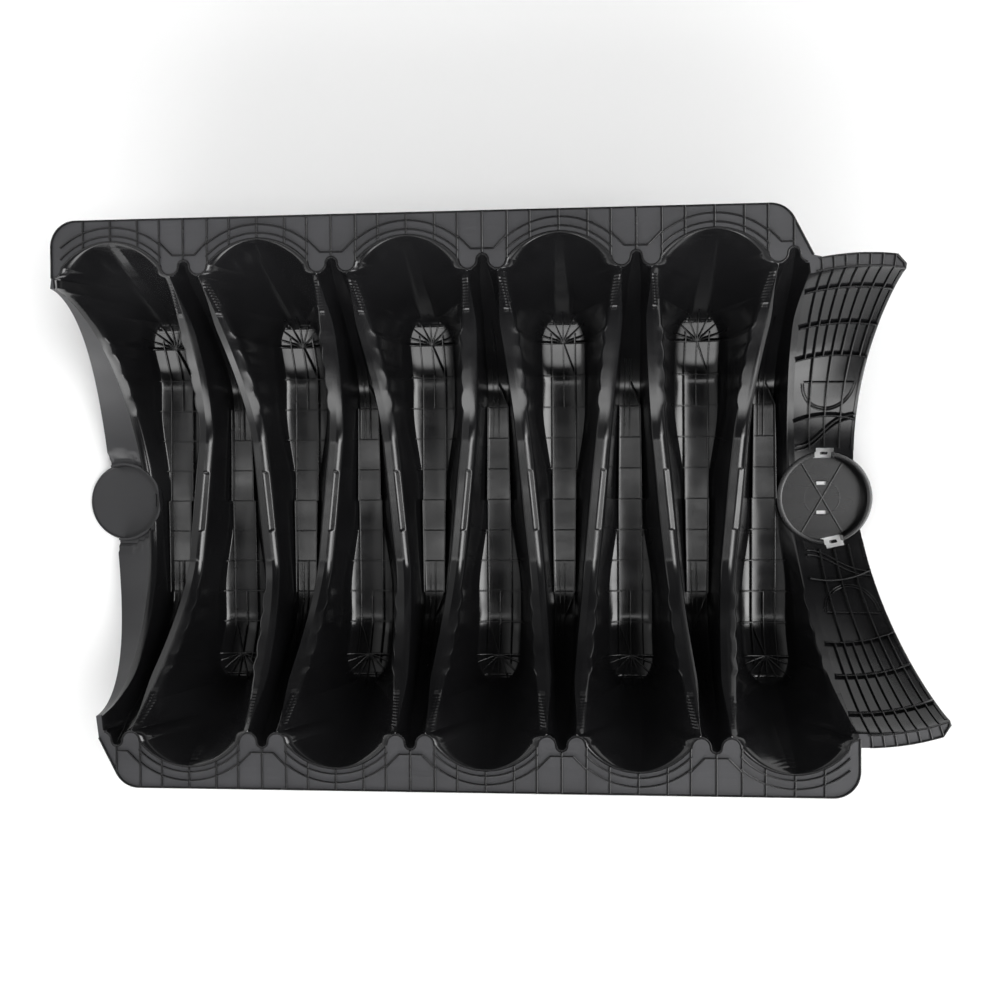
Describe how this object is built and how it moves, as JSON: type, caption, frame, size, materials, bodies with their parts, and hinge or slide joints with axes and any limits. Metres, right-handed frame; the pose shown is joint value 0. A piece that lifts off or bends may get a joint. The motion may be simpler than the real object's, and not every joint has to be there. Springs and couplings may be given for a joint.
{
  "type": "leaching chamber",
  "caption": "Arch-shaped drain-field chamber, open side up: tapered corrugations between scalloped base flanges, with a pivot post at one end and an overlapping pivot socket at the other.",
  "frame": {"origin": "centre of the bounding box's bottom, level with the crowns of the corrugations", "axes": "+X along the row of chambers from pivot post to pivot socket, +Z out of the open side (it is turned over in use)"},
  "size_m": [1.409, 0.864, 0.305],
  "materials": {
    "black_polymer": "satin black moulded polymer"
  },
  "bodies": {
    "root": {"base_flange_a": "black_polymer", "base_flange_b": "black_polymer", "flange_ribs_a": "black_polymer", "flange_ribs_b": "black_polymer", "corrugation_1": "black_polymer", "corrugation_2": "black_polymer", "corrugation_3": "black_polymer", "corrugation_4": "black_polymer", "corrugation_5": "black_polymer", "corrugation_6": "black_polymer", "corrugation_7": "black_polymer", "corrugation_8": "black_polymer", "corrugation_9": "black_polymer", "corrugation_10": "black_polymer", "crown_ribs_1": "black_polymer", "crown_ribs_2": "black_polymer", "crown_ribs_3": "black_polymer", "crown_ribs_4": "black_polymer", "crown_ribs_5": "black_polymer", "crown_ribs_6": "black_polymer", "crown_ribs_7": "black_polymer", "crown_ribs_8": "black_polymer", "crown_ribs_9": "black_polymer", "crown_ribs_10": "black_polymer", "end_band_a": "black_polymer", "end_band_b": "black_polymer", "band_foot_a": "black_polymer", "band_foot_b": "black_polymer", "pivot_post": "black_polymer", "post_wall": "black_polymer", "overlap_shell_a": "black_polymer", "overlap_shell_b": "black_polymer", "overlap_ribs_a": "black_polymer", "overlap_ribs_b": "black_polymer", "overlap_foot_a": "black_polymer", "overlap_foot_b": "black_polymer", "socket_collar": "black_polymer", "socket_floor": "black_polymer", "snap_hook_a": "black_polymer", "snap_hook_b": "black_polymer"}
  },
  "joints": []
}
